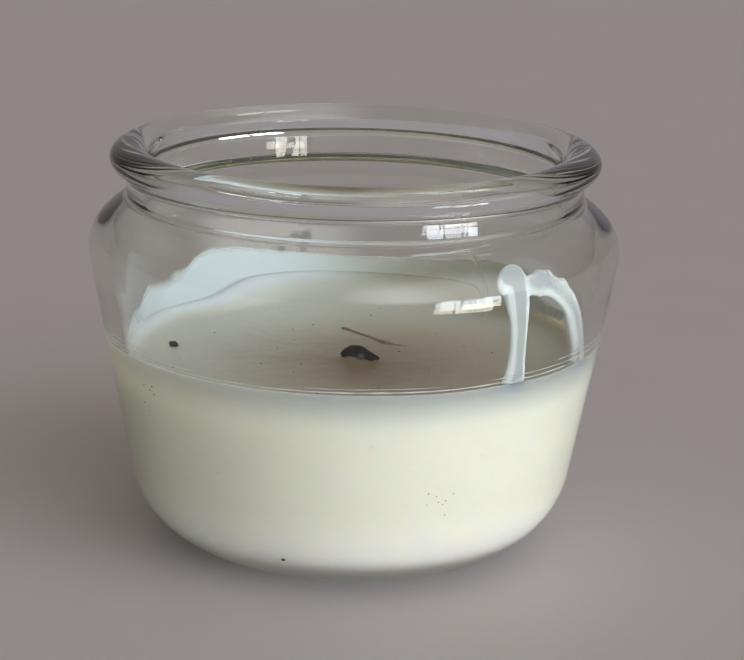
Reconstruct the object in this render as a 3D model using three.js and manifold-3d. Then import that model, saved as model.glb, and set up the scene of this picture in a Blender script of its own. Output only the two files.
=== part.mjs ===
// A used jar candle: a clear glass jar with a rolled rim, half full of ivory wax.
// Millimetres, +Z up. The origin is the centre of the base, on the surface the jar stands on.
// The front is -Y. Angles round the wall are counted from the front towards +X.

import * as THREE from 'three';
import Module from 'manifold-3d';
import { mergeVertices } from 'three/addons/utils/BufferGeometryUtils.js';

const wasm = await Module();
wasm.setup();

// Driving dimensions.
const widestRadius = 43.0;
const totalHeight = 66.3;
const wallThickness = 3.0;
const floorThickness = 5.0;
const fitGap = 0.3;
const stackGap = 0.1;

// Base of the jar.
const kickRadius = 13.0;
const kickHeight = 0.8;
const kickEase = 0.7;
const standRadius = 21.0;
const floorFlatRadius = 24.0;
const heelTopRadius = 36.5;
const heelTopHeight = 12.5;
const insideHeelTopHeight = 12.5;
const heelPull = 0.58;
const insideHeelPull = 0.70;

// Straight tapering wall and shoulder.
const wallTopRadius = 42.0;
const wallTopHeight = 42.6;
const wallSlope = (wallTopRadius - heelTopRadius) / (wallTopHeight - heelTopHeight);
const shoulderRise = 7.5;
const shoulderCrownRadius = widestRadius + 1.6;
const shoulderCrownHeight = 52.9;
const insideCrownRadius = shoulderCrownRadius - wallThickness - 0.5;
const insideCrownHeight = shoulderCrownHeight - 0.7;

// Neck and rolled bead.
const neckRadius = 37.0;
const neckBottomHeight = 57.6;
const neckTopHeight = 60.9;
const neckWall = 3.1;
const insideNeckBottomHeight = neckBottomHeight - 1.0;
const beadRadius = 36.35;
const beadHalfWidth = 3.25;
const beadHalfHeight = 2.4;
const beadHeight = totalHeight - beadHalfHeight;
const beadStart = THREE.MathUtils.degToRad(-50);
const beadEnd = THREE.MathUtils.degToRad(220);

// Wax.
const poolHeight = 30.6;
const poolDip = 0.5;
const poolRadius = 33.6;
const poolFlatRadius = 15.0;
const poolEaseRadius = 27.0;
const poolEaseHeight = poolHeight - 0.1;
const ringHeight = 35.6;
const ringLipWidth = 0.7;
const ringFootRadius = poolRadius + 0.6;
const ringFootHeight = poolHeight + 0.3;
const ringHollowWidth = 1.0;
const ringHollowHeight = poolHeight + 1.0;

// Wick, tab and sticker.
const wickRadius = 0.9;
const wickSteps = 26;
const wickSides = 5;
const wickStraightTop = poolHeight - 1.2;
const wickBurntEnd = [
  [0.05, 0, poolHeight],
  [0.6, -0.2, poolHeight + 0.85],
  [1.6, -0.5, poolHeight + 1.0],
  [2.7, -0.9, poolHeight + 0.8],
];
const tabRadius = 10.0;
const tabThickness = 0.3;
const tabNeckHeight = 6.0;
const tabNeckWall = 0.3;
const stickerRadius = 9.5;
const stickerThickness = 0.6;

// Wax on the wall above the ring.
const dripThickness = 1.4;
const dripClearance = 0.15;
const dripSides = 10;
const dripSteps = 14;
const dripEndShare = 0.45;
const dripEndGrowth = 2.2;
const filmThickness = 0.35;
const filmStepDegrees = 3;

// Runs of wax: angle and height of the middle line, and half width.
const straightRun = [
  [34.9, 51.3, 2.0],
  [37.4, 50.8, 2.6],
  [38.4, 47.6, 2.1],
  [38.8, 44.2, 1.7],
  [39.5, 39.4, 1.7],
  [40.0, 36.3, 2.0],
];
const outerRun = [
  [41.0, 50.7, 2.1],
  [45.6, 50.2, 1.9],
  [50.6, 48.7, 1.9],
  [55.0, 46.3, 2.0],
  [59.5, 42.5, 1.8],
  [63.2, 38.7, 1.5],
  [65.4, 36.3, 1.5],
];

// Upper edge of the film: angle, counted from the front round the left side, and height.
const filmUpperEdge = [
  [102, 36.8], [107, 38.2], [113, 38.5], [119, 38.0], [126, 36.9], [131, 38.9], [138, 40.1],
  [147, 39.2], [156, 38.4], [169, 37.6], [184, 37.3], [197, 37.5], [209, 37.4], [221, 38.6], [233, 37.6],
];
const filmLowerEdge = ringHeight + fitGap;

// What lies on the pool.
const crumbRadius = 1.0;
const crumbStretch = [1.0, 0.8, 0.6];
const crumbTurn = 0.4;
const crumbPlace = [-30.2, 5.2, poolHeight + fitGap + 0.55];
const sliverRadius = 0.3;
const sliverHeight = poolHeight + fitGap + sliverRadius;
const sliverRoute = [
  [-2.3, 20.0, sliverHeight],
  [2.8, 13.0, sliverHeight],
  [6.9, 6.4, sliverHeight],
];
const sliverSteps = 10;
const sliverSides = 3;

// How finely round shapes are cut up.
const roundSegments = 60;
const curveSteps = 7;
const mergeDistance = 1e-4;

const colours = {
  glass: 0xd9e2dd,
  wax: 0xe6e2cf,
  cotton: 0x4a4038,
  steel: 0xb9bcc0,
  adhesive: 0xf2f0ea,
  paleWax: 0xdfe3e0,
  char: 0x16130f,
  sliver: 0x6b513c,
};

// Straight wall radius on the outside, at a height.
function wallRadius(z) {
  return heelTopRadius + wallSlope * (z - heelTopHeight);
}

// Rounds a corner: both handles go part of the way to it.
function roundCorner(outline, corner, end, pull) {
  const firstHandle = outline.currentPoint.clone().lerp(corner, pull);
  const lastHandle = end.clone().lerp(corner, pull);
  outline.bezierCurveTo(firstHandle.x, firstHandle.y, lastHandle.x, lastHandle.y, end.x, end.y);
}

// Outside of the jar, from the push-up to the top of the neck.
function outerOutline() {
  const outline = new THREE.Path();
  const heelCorner = new THREE.Vector2(wallRadius(0), 0);
  const heelTop = new THREE.Vector2(heelTopRadius, heelTopHeight);
  outline.moveTo(0, kickHeight);
  outline.quadraticCurveTo(kickRadius * kickEase, kickHeight, kickRadius, 0);
  outline.lineTo(standRadius, 0);
  roundCorner(outline, heelCorner, heelTop, heelPull);
  outline.lineTo(wallTopRadius, wallTopHeight);
  outline.bezierCurveTo(
    wallTopRadius + wallSlope * shoulderRise, wallTopHeight + shoulderRise,
    shoulderCrownRadius, shoulderCrownHeight,
    neckRadius, neckBottomHeight,
  );
  outline.lineTo(neckRadius, neckTopHeight);
  return outline;
}

// Inside of the jar, from the middle of the floor to the top of the neck.
function innerOutline() {
  const outline = new THREE.Path();
  const heelCorner = new THREE.Vector2(wallRadius(floorThickness) - wallThickness, floorThickness);
  const heelTop = new THREE.Vector2(wallRadius(insideHeelTopHeight) - wallThickness, insideHeelTopHeight);
  outline.moveTo(0, floorThickness);
  outline.lineTo(floorFlatRadius, floorThickness);
  roundCorner(outline, heelCorner, heelTop, insideHeelPull);
  outline.lineTo(wallTopRadius - wallThickness, wallTopHeight);
  outline.bezierCurveTo(
    wallTopRadius - wallThickness + wallSlope * shoulderRise, wallTopHeight + shoulderRise,
    insideCrownRadius, insideCrownHeight,
    neckRadius - neckWall, insideNeckBottomHeight,
  );
  outline.lineTo(neckRadius - neckWall, neckTopHeight);
  return outline;
}

const outerPoints = outerOutline().getPoints(curveSteps);
const innerPoints = innerOutline().getPoints(curveSteps);

// Radius of the inside wall at a height, read off the inside outline.
function insideRadius(z) {
  for (let i = 1; i < innerPoints.length; i += 1) {
    const low = innerPoints[i - 1];
    const high = innerPoints[i];
    if (high.y > low.y && z >= low.y && z <= high.y) {
      return THREE.MathUtils.mapLinear(z, low.y, high.y, low.x, high.x);
    }
  }
  return neckRadius - neckWall;
}

// Turns a list of [radius, height] points about +Z. The list starts and ends on the axis, or closes.
function turned(points) {
  const profile = points.map((p) => new THREE.Vector2(p.x, p.y));
  const geometry = new THREE.LatheGeometry(profile, roundSegments);
  geometry.rotateX(Math.PI / 2);
  return geometry;
}

// The bead is most of an ellipse, and it meets the neck on both sides.
function beadPoints() {
  const bead = new THREE.EllipseCurve(
    beadRadius, beadHeight, beadHalfWidth, beadHalfHeight, beadStart, beadEnd, false,
  );
  return bead.getPoints(curveSteps * 2);
}

function glassJar() {
  return turned([...outerPoints, ...beadPoints(), ...innerPoints.toReversed()]);
}

// Pool surface from the wick out to the foot of the ring, slightly lower near the middle.
function poolSurface() {
  const pool = new THREE.Path();
  pool.moveTo(wickRadius + fitGap, poolHeight - poolDip);
  pool.lineTo(poolFlatRadius, poolHeight - poolDip);
  pool.quadraticCurveTo(poolEaseRadius, poolEaseHeight, poolRadius, poolHeight);
  return pool.getPoints(curveSteps);
}

// Ring of wax that stayed on the wall: a concave fillet up to a narrow lip.
function ringSurface() {
  const lipRadius = insideRadius(ringHeight) - fitGap;
  const lipStart = lipRadius - ringLipWidth;
  const ring = new THREE.Path();
  ring.moveTo(ringFootRadius, ringFootHeight);
  ring.quadraticCurveTo(lipStart - ringHollowWidth, ringHollowHeight, lipStart, ringHeight);
  ring.lineTo(lipRadius, ringHeight);
  return ring.getPoints(curveSteps);
}

// The side and bottom of the wax follow the inside of the glass, a gap away.
function waxSide() {
  const side = innerPoints.filter((p) => p.x > tabRadius && p.y < ringHeight);
  return side.map((p) => {
    const lift = THREE.MathUtils.clamp((heelTopHeight - p.y) / (heelTopHeight - floorThickness), 0, 1);
    return new THREE.Vector2(p.x - fitGap, p.y + fitGap * lift);
  });
}

// Hollow in the underside of the wax that holds the tab, its neck and the wick.
function tabHollow() {
  const bottom = floorThickness + fitGap;
  const overDisc = floorThickness + stickerThickness + tabThickness + 2 * stackGap + fitGap;
  const overNeck = overDisc + tabNeckHeight;
  const aroundNeck = wickRadius + fitGap + tabNeckWall + fitGap;
  return [
    new THREE.Vector2(tabRadius + fitGap, bottom),
    new THREE.Vector2(tabRadius + fitGap, overDisc),
    new THREE.Vector2(aroundNeck, overDisc),
    new THREE.Vector2(aroundNeck, overNeck),
    new THREE.Vector2(wickRadius + fitGap, overNeck),
    new THREE.Vector2(wickRadius + fitGap, poolHeight - poolDip),
  ];
}

function waxFill() {
  const loop = [...poolSurface(), ...ringSurface(), ...waxSide().toReversed(), ...tabHollow()];
  return turned(loop.toReversed());
}

function wickSticker() {
  const bottom = floorThickness + stackGap;
  const sticker = new THREE.CylinderGeometry(stickerRadius, stickerRadius, stickerThickness, roundSegments);
  sticker.rotateX(Math.PI / 2);
  sticker.translate(0, 0, bottom + stickerThickness / 2);
  return sticker;
}

// Thin disc with a crimped neck drawn up round the wick.
function wickTab() {
  const bottom = floorThickness + stickerThickness + 2 * stackGap;
  const top = bottom + tabThickness;
  const bore = wickRadius + fitGap;
  const points = [
    [bore, bottom],
    [tabRadius, bottom],
    [tabRadius, top],
    [bore + tabNeckWall, top],
    [bore + tabNeckWall, top + tabNeckHeight],
    [bore, top + tabNeckHeight],
    [bore, bottom],
  ];
  return turned(points.map(([r, z]) => new THREE.Vector2(r, z)));
}

// A round bar along a list of points, closed at both ends.
function barAlong(places, radius, steps, sides) {
  const curve = new THREE.CatmullRomCurve3(places.map((p) => new THREE.Vector3(...p)));
  const section = new THREE.Shape();
  section.absarc(0, 0, radius, 0, 2 * Math.PI, false);
  return new THREE.ExtrudeGeometry(section, {
    steps,
    curveSegments: sides,
    extrudePath: curve,
    bevelEnabled: false,
  });
}

// The wick rises through the tab and the wax, and its burnt end is bent over to the right.
function wick() {
  const foot = floorThickness + stickerThickness + 3 * stackGap;
  const straight = [
    [0, 0, foot],
    [0, 0, (foot + wickStraightTop) / 2],
    [0, 0, wickStraightTop],
  ];
  return barAlong([...straight, ...wickBurntEnd], wickRadius, wickSteps, wickSides);
}

// Loops of points round a line become one closed skin, with a flat cap on each end.
function skin(loops) {
  const perLoop = loops[0].length;
  const positions = loops.flat().flatMap((p) => [p.x, p.y, p.z]);
  const indices = [];
  for (let i = 1; i < loops.length; i += 1) {
    for (let j = 0; j < perLoop; j += 1) {
      const next = (j + 1) % perLoop;
      const a = (i - 1) * perLoop + j;
      const b = (i - 1) * perLoop + next;
      const c = i * perLoop + next;
      const d = i * perLoop + j;
      indices.push(a, b, c, a, c, d);
    }
  }
  const last = (loops.length - 1) * perLoop;
  for (let j = 1; j < perLoop - 1; j += 1) {
    indices.push(0, j + 1, j);
    indices.push(last, last + j, last + j + 1);
  }
  const geometry = new THREE.BufferGeometry();
  geometry.setAttribute('position', new THREE.Float32BufferAttribute(positions, 3));
  geometry.setIndex(indices);
  return geometry;
}

// A point on the inside wall, set in from the glass by a depth.
function onWall(angleDegrees, z, depth) {
  const angle = THREE.MathUtils.degToRad(angleDegrees);
  const r = insideRadius(z) - depth;
  return new THREE.Vector3(r * Math.sin(angle), -r * Math.cos(angle), z);
}

// A run of wax down the wall: a flat oval section whose width follows the list.
function waxRun(entries) {
  const line = new THREE.CatmullRomCurve3(entries.map(([a, z]) => onWall(a, z, 0)));
  const width = new THREE.CatmullRomCurve3(entries.map(([, , w], i) => new THREE.Vector3(w, i, 0)));
  const loops = [];
  for (let i = 0; i <= dripSteps; i += 1) {
    const along = i / dripSteps;
    const middle = line.getPoint(along);
    const halfWidth = width.getPoint(along).x;
    const tangent = line.getTangent(along);
    const inward = new THREE.Vector3(-middle.x, -middle.y, 0).normalize();
    const sideways = new THREE.Vector3().crossVectors(inward, tangent).normalize();
    const endRounding = Math.min(1, dripEndShare + dripEndGrowth * Math.min(along, 1 - along));
    const loop = [];
    for (let j = 0; j < dripSides; j += 1) {
      const turn = (2 * Math.PI * j) / dripSides;
      const across = Math.cos(turn) * halfWidth * endRounding;
      const depth = fitGap + dripClearance + (dripThickness / 2) * (1 + Math.sin(turn) * endRounding);
      const place = middle.clone().addScaledVector(sideways, across);
      const angle = THREE.MathUtils.radToDeg(Math.atan2(place.x, -place.y));
      loop.push(onWall(angle, place.z, depth));
    }
    loops.push(loop);
  }
  return skin(loops);
}

// Closed meshes go in with shared corners merged, so that the solids are watertight.
function toSolid(geometry) {
  const bare = new THREE.BufferGeometry();
  bare.setAttribute('position', geometry.getAttribute('position').clone());
  bare.setIndex(geometry.getIndex());
  const merged = mergeVertices(bare, mergeDistance);
  const vertProperties = new Float32Array(merged.getAttribute('position').array);
  const triVerts = new Uint32Array(merged.getIndex().array);
  return new wasm.Manifold(new wasm.Mesh({ numProp: 3, vertProperties, triVerts }));
}

function fromSolid(solid) {
  const mesh = solid.getMesh();
  const geometry = new THREE.BufferGeometry();
  geometry.setAttribute('position', new THREE.BufferAttribute(mesh.vertProperties, 3));
  geometry.setIndex(new THREE.BufferAttribute(mesh.triVerts, 1));
  return geometry;
}

// Two runs from one rounded head: one falls straight, the other swings out to the right.
function waxDrip() {
  return fromSolid(toSolid(waxRun(straightRun)).add(toSolid(waxRun(outerRun))));
}

// Thin wax left on the back of the jar, from just above the ring to its uneven upper edge.
function wallFilm() {
  const loops = [];
  for (let i = 1; i < filmUpperEdge.length; i += 1) {
    const [fromAngle, fromHeight] = filmUpperEdge[i - 1];
    const [toAngle, toHeight] = filmUpperEdge[i];
    const steps = Math.ceil((toAngle - fromAngle) / filmStepDegrees);
    for (let k = i === 1 ? 0 : 1; k <= steps; k += 1) {
      const angle = -THREE.MathUtils.lerp(fromAngle, toAngle, k / steps);
      const upper = THREE.MathUtils.lerp(fromHeight, toHeight, k / steps);
      loops.push([
        onWall(angle, filmLowerEdge, fitGap),
        onWall(angle, upper, fitGap),
        onWall(angle, upper, fitGap + filmThickness),
        onWall(angle, filmLowerEdge, fitGap + filmThickness),
      ]);
    }
  }
  return skin(loops);
}

// A knobbly crumb, flatter than it is wide.
function charCrumb() {
  const crumb = new THREE.DodecahedronGeometry(crumbRadius);
  crumb.scale(...crumbStretch);
  crumb.rotateZ(crumbTurn);
  crumb.translate(...crumbPlace);
  return crumb;
}

// A thin sliver lying on the pool, behind the wick.
function wickSliver() {
  return barAlong(sliverRoute, sliverRadius, sliverSteps, sliverSides);
}

// Wraps a shape as a named mesh with its own finish.
function piece(name, geometry, colour, roughness, metalness = 0) {
  const material = new THREE.MeshStandardMaterial({ color: colour, roughness, metalness });
  const mesh = new THREE.Mesh(geometry, material);
  mesh.name = name;
  return mesh;
}

const glassPiece = piece('glass_jar', glassJar(), colours.glass, 0.05);
glassPiece.material.transparent = true;
glassPiece.material.opacity = 0.35;

const jarCandle = new THREE.Group();
jarCandle.add(
  glassPiece,
  piece('wax_fill', waxFill(), colours.wax, 0.45),
  piece('wick', wick(), colours.cotton, 0.95),
  piece('wick_tab', wickTab(), colours.steel, 0.35, 1),
  piece('wick_sticker', wickSticker(), colours.adhesive, 0.8),
  piece('wax_drip', waxDrip(), colours.paleWax, 0.4),
  piece('wall_film', wallFilm(), colours.paleWax, 0.5),
  piece('char_crumb', charCrumb(), colours.char, 0.95),
  piece('wick_sliver', wickSliver(), colours.sliver, 0.9),
);

export default jarCandle;
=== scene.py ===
"""A used jar candle: a clear pressed-glass jar, half full of ivory wax, with a burnt wick.

Shapes are given in millimetres in the jar's own frame (+Z up, front at -Y) and become metres when a
mesh is made. Angles round the wall are counted from the front towards +X.
"""
import math
import random

import bmesh
import bpy
from mathutils import Matrix, Vector, noise


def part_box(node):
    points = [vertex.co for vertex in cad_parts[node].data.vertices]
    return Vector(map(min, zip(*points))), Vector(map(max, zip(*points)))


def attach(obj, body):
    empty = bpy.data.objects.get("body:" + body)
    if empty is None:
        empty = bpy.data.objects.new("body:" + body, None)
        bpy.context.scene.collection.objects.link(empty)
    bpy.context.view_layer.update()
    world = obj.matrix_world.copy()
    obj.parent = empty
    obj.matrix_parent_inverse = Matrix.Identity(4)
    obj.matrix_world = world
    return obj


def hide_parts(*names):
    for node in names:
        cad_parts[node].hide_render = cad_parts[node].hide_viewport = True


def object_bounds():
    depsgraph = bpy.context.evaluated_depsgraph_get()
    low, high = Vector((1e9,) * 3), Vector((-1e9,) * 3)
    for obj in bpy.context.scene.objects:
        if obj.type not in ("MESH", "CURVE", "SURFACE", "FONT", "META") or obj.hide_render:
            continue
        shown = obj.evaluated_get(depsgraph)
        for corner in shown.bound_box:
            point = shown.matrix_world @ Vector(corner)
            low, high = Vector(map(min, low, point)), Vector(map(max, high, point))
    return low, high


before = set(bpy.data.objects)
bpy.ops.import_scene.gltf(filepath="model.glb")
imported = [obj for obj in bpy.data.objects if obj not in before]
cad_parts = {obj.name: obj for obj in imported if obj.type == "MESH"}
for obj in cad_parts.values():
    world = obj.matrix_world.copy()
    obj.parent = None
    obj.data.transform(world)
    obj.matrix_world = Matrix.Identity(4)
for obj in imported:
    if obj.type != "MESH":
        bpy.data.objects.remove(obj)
cad_low, cad_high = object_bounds()

MM = 0.001
BODY = "root"

# The jar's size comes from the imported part.
jar_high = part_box("glass_jar")[1]
wax_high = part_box("wax_fill")[1]
WIDEST_RADIUS = jar_high.x / MM
TOTAL_HEIGHT = jar_high.z / MM
RING_HEIGHT = wax_high.z / MM

# Base.
KICK_RADIUS = 13.0
KICK_HEIGHT = 0.8
STAND_RADIUS = 21.0
FLOOR_THICKNESS = 5.0
HEEL_TOP_RADIUS = 36.5
HEEL_TOP_HEIGHT = 12.5
HEEL_PULL = 0.58
INSIDE_FLAT_RADIUS = 24.0
INSIDE_HEEL_TOP = 11.0
INSIDE_HEEL_PULL = 0.88

# Wall and shoulder.
WALL_THICKNESS = 3.0
WALL_TOP_RADIUS = WIDEST_RADIUS - 1.0
WALL_TOP_HEIGHT = 42.6
WALL_SLOPE = (WALL_TOP_RADIUS - HEEL_TOP_RADIUS) / (WALL_TOP_HEIGHT - HEEL_TOP_HEIGHT)
SHOULDER_RISE = 7.5
CROWN_RADIUS = WIDEST_RADIUS + 1.6
CROWN_HEIGHT = 52.9

# Neck and bead.
NECK_RADIUS = 37.0
NECK_BOTTOM = 57.6
NECK_TOP = 60.9
NECK_WALL = 3.1
BEAD_RADIUS = 36.35
BEAD_HALF_WIDTH = 3.25
BEAD_HALF_HEIGHT = 2.4
BEAD_HEIGHT = TOTAL_HEIGHT - BEAD_HALF_HEIGHT

# Wax.
POOL_HEIGHT = 30.6
POOL_DIP = 0.5
POOL_RADIUS = 33.6
RING_LIP = 0.7
RING_SWEEP = 1.0
WAX_BITE = 0.12
THIN_LIP_DEPTH = 2.5

WICK_RADIUS = 0.9
TAB_RADIUS = 10.0

# How finely round things are cut, and the mould seams, in degrees.
ROUND_STEPS = 380
SMALL_ROUND_STEPS = 96
SEAM_ANGLES = (26.5, 206.5)

# Runs of wax: angle, height and half width along the middle of each. They are flatter than wide.
RUN_THICKNESS = 0.45
STRAIGHT_RUN = [
    (34.5, 51.0, 1.8), (36.5, 51.0, 2.5), (37.5, 48.5, 2.3), (38.5, 45.0, 1.8), (39.5, 39.5, 1.7),
    (40.0, 35.2, 2.4),
]
OUTER_RUN = [
    (41.0, 50.3, 1.55), (47.5, 49.5, 1.55), (54.0, 46.8, 1.75), (59.5, 42.5, 1.8), (63.5, 38.2, 1.45),
    (66.0, 35.0, 2.0),
]
RUN_HUMPS = [(43.5, 50.3, 1.95), (45.5, 50.2, 1.85), (50.5, 48.8, 1.75)]
RIPPLES_FROM = 43.0

# The smear on the wall: the height of its upper edge, and how well it covers, by angle.
FILM_GAP = 0.08
FILM_STEP = 0.8
FILM_EDGE = [
    (-262, 36.5), (-235, 38.0), (-220, 38.5), (-205, 37.5), (-180, 37.0), (-160, 38.0), (-145, 40.0),
    (-137, 40.3), (-132, 39.2), (-127, 37.0), (-118, 37.8), (-109, 39.5), (-101, 36.0), (-88, 36.0),
]
FILM_COVER = [
    (-262, 0.15), (-235, 0.60), (-205, 0.78), (-180, 0.88), (-160, 1.0), (-135, 0.85), (-112, 0.75),
    (-88, 0.35),
]

# The wax at the back is pale at the left and in shade at the right: X where that change begins and ends.
SHADED_FROM = -16.0
SHADED_TO = 14.0

# Light passes further through wax as red than as blue.
WAX_REACH = (1.0, 0.82, 0.55)

# The camera: distances in jar widths, angles in degrees, lens and sensor in millimetres.
CAMERA_BACK = 4.007
CAMERA_UP = 1.5135
CAMERA_YAW = 0.53
CAMERA_PITCH = 15.48
CAMERA_ROLL = 1.234
CAMERA_LENS = 104.7
CAMERA_SENSOR = 36.0

# Warm over cool, as a bright window shows in glass.
WINDOW_COLOURS = ((1.0, 0.94, 0.84), (0.80, 0.90, 1.0))


# ---------------------------------------------------------------- outlines

def lerp(a, b, t):
    return a + (b - a) * t


def along(knots, place):
    """Smooth value between the knots of a list, each a place and a value."""
    for (low, low_value), (high, high_value) in zip(knots, knots[1:]):
        if low <= place <= high:
            t = (place - low) / (high - low)
            return lerp(low_value, high_value, t * t * (3 - 2 * t))
    return knots[0][1] if place < knots[0][0] else knots[-1][1]


def bezier(start, pull_a, pull_b, end, steps):
    """Points on a cubic curve, without its first one."""
    points = []
    for i in range(1, steps + 1):
        t = i / steps
        s = 1 - t
        weights = (s ** 3, 3 * s * s * t, 3 * s * t * t, t ** 3)
        corners = (start, pull_a, pull_b, end)
        points.append(tuple(sum(w * c[k] for w, c in zip(weights, corners)) for k in (0, 1)))
    return points


def straight(start, end, steps):
    """Points on a straight line, without its first one."""
    shares = [i / steps for i in range(1, steps + 1)]
    return [(lerp(start[0], end[0], t), lerp(start[1], end[1], t)) for t in shares]


def wall_radius(z):
    return HEEL_TOP_RADIUS + WALL_SLOPE * (z - HEEL_TOP_HEIGHT)


def outer_outline():
    """Outside of the jar, from the middle of the base to the top of the neck."""
    corner = wall_radius(0)
    points = [(0.0, KICK_HEIGHT)]
    points += straight(points[-1], (KICK_RADIUS * 0.4, KICK_HEIGHT), 3)
    points += bezier(
        points[-1],
        (KICK_RADIUS * 0.85, KICK_HEIGHT),
        (KICK_RADIUS * 0.93, 0.0),
        (KICK_RADIUS, 0.0),
        10,
    )
    points += straight(points[-1], (STAND_RADIUS, 0.0), 4)
    points += bezier(
        points[-1],
        (lerp(STAND_RADIUS, corner, HEEL_PULL), 0.0),
        (lerp(HEEL_TOP_RADIUS, corner, HEEL_PULL), HEEL_TOP_HEIGHT * (1 - HEEL_PULL)),
        (HEEL_TOP_RADIUS, HEEL_TOP_HEIGHT),
        28,
    )
    points += straight(points[-1], (WALL_TOP_RADIUS, WALL_TOP_HEIGHT), 8)
    points += bezier(
        points[-1],
        (WALL_TOP_RADIUS + WALL_SLOPE * SHOULDER_RISE, WALL_TOP_HEIGHT + SHOULDER_RISE),
        (CROWN_RADIUS, CROWN_HEIGHT),
        (NECK_RADIUS, NECK_BOTTOM),
        36,
    )
    points += straight(points[-1], (NECK_RADIUS, NECK_TOP - 0.5), 3)
    return points


def bead_outline():
    """The rolled bead: most of an ellipse, joined to the neck by small fillets."""
    start, end, steps = math.radians(-50), math.radians(220), 44
    arc = []
    for i in range(steps + 1):
        a = lerp(start, end, i / steps)
        radius = BEAD_RADIUS + BEAD_HALF_WIDTH * math.cos(a)
        arc.append((radius, BEAD_HEIGHT + BEAD_HALF_HEIGHT * math.sin(a)))
    foot = (NECK_RADIUS, NECK_TOP - 0.5)
    fillet = bezier(foot, (NECK_RADIUS, NECK_TOP + 0.4), (arc[0][0] - 0.7, arc[0][1] - 0.5), arc[0], 8)
    return fillet + arc[1:]


def inner_outline():
    """Inside of the jar, from the middle of the floor to the top of the neck."""
    heel_top_radius = wall_radius(INSIDE_HEEL_TOP) - WALL_THICKNESS
    corner = wall_radius(FLOOR_THICKNESS) - WALL_THICKNESS
    pull = INSIDE_HEEL_PULL
    points = [(0.0, FLOOR_THICKNESS)]
    points += straight(points[-1], (INSIDE_FLAT_RADIUS, FLOOR_THICKNESS), 6)
    points += bezier(
        points[-1],
        (lerp(INSIDE_FLAT_RADIUS, corner, pull), FLOOR_THICKNESS),
        (lerp(heel_top_radius, corner, pull), lerp(INSIDE_HEEL_TOP, FLOOR_THICKNESS, pull)),
        (heel_top_radius, INSIDE_HEEL_TOP),
        26,
    )
    points += straight(points[-1], (WALL_TOP_RADIUS - WALL_THICKNESS, WALL_TOP_HEIGHT), 14)
    points += bezier(
        points[-1],
        (WALL_TOP_RADIUS - WALL_THICKNESS + WALL_SLOPE * SHOULDER_RISE, WALL_TOP_HEIGHT + SHOULDER_RISE),
        (CROWN_RADIUS - WALL_THICKNESS - 0.5, CROWN_HEIGHT - 0.7),
        (NECK_RADIUS - NECK_WALL, NECK_BOTTOM - 1.0),
        36,
    )
    points += straight(points[-1], (NECK_RADIUS - NECK_WALL, NECK_TOP), 5)
    return points


OUTER = outer_outline()
BEAD = bead_outline()
INNER = inner_outline()


def inside_radius(z):
    """Radius of the inside wall at a height."""
    for low, high in zip(INNER, INNER[1:]):
        if high[1] > low[1] and low[1] <= z <= high[1]:
            return lerp(low[0], high[0], (z - low[1]) / (high[1] - low[1]))
    return NECK_RADIUS - NECK_WALL


def on_wall(angle, z, depth=0.0):
    """A point at a depth in from the inside wall. The angle is in degrees."""
    a = math.radians(angle)
    r = inside_radius(z) - depth
    return Vector((r * math.sin(a), -r * math.cos(a), z))


def wall_angle(x, y):
    return math.degrees(math.atan2(x, -y))


# ---------------------------------------------------------------- mesh helpers

def new_piece(name, mesh, node, materials):
    piece = bpy.data.objects.new(name, mesh)
    bpy.context.scene.collection.objects.link(piece)
    for m in materials:
        mesh.materials.append(m)
    mesh.polygons.foreach_set("use_smooth", [True] * len(mesh.polygons))
    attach(piece, BODY)
    if node:
        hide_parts(node)
    return piece


def mesh_from(name, points, faces):
    mesh = bpy.data.meshes.new(name)
    mesh.from_pydata([tuple(c * MM for c in p) for p in points], [], faces)
    mesh.update()
    return mesh


def turned(name, profile, angles, shaped=None):
    """Turns a closed outline about the axis. Its first and last points are on the axis."""
    points, rings = [], []
    for r, z in profile:
        if r < 1e-6:
            rings.append([len(points)])
            points.append((0.0, 0.0, z))
            continue
        ring = []
        for a in angles:
            rr, zz = shaped(r, z, a, len(rings)) if shaped else (r, z)
            ring.append(len(points))
            points.append((rr * math.sin(a), -rr * math.cos(a), zz))
        rings.append(ring)
    faces = []
    count = len(angles)
    for low, high in zip(rings, rings[1:]):
        for j in range(count):
            k = (j + 1) % count
            if len(low) == 1:
                faces.append((low[0], high[k], high[j]))
            elif len(high) == 1:
                faces.append((low[j], low[k], high[0]))
            else:
                faces.append((low[j], low[k], high[k], high[j]))
    return mesh_from(name, points, faces)


def round_angles(count):
    return [2 * math.pi * i / count for i in range(count)]


def seamed_angles(count):
    """Even angles, with more of them at the two mould seams."""
    angles = round_angles(count)
    for seam in SEAM_ANGLES:
        angles += [math.radians(seam + offset) for offset in (-0.55, -0.3, -0.12, 0.06, 0.24, 0.48)]
    return sorted(angles)


# ---------------------------------------------------------------- material helpers

def new_material(name):
    """A material, its node tree and its shader."""
    material = bpy.data.materials.new(name)
    material.use_nodes = True
    return material, material.node_tree, material.node_tree.nodes["Principled BSDF"]


def set_inputs(node, values):
    for name, value in values.items():
        node.inputs[name].default_value = value


def noise_of(tree, source, scale, detail=4.0, roughness=0.5):
    """Noise from 0 to 1 at a place."""
    node = tree.nodes.new("ShaderNodeTexNoise")
    set_inputs(node, {"Scale": scale, "Detail": detail, "Roughness": roughness})
    tree.links.new(source, node.inputs["Vector"])
    return node.outputs["Fac"]


def bump(tree, height, strength, distance, shader):
    """Roughens a shader's surface with a height."""
    node = tree.nodes.new("ShaderNodeBump")
    set_inputs(node, {"Strength": strength, "Distance": distance})
    tree.links.new(height, node.inputs["Height"])
    tree.links.new(node.outputs["Normal"], shader.inputs["Normal"])


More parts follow.
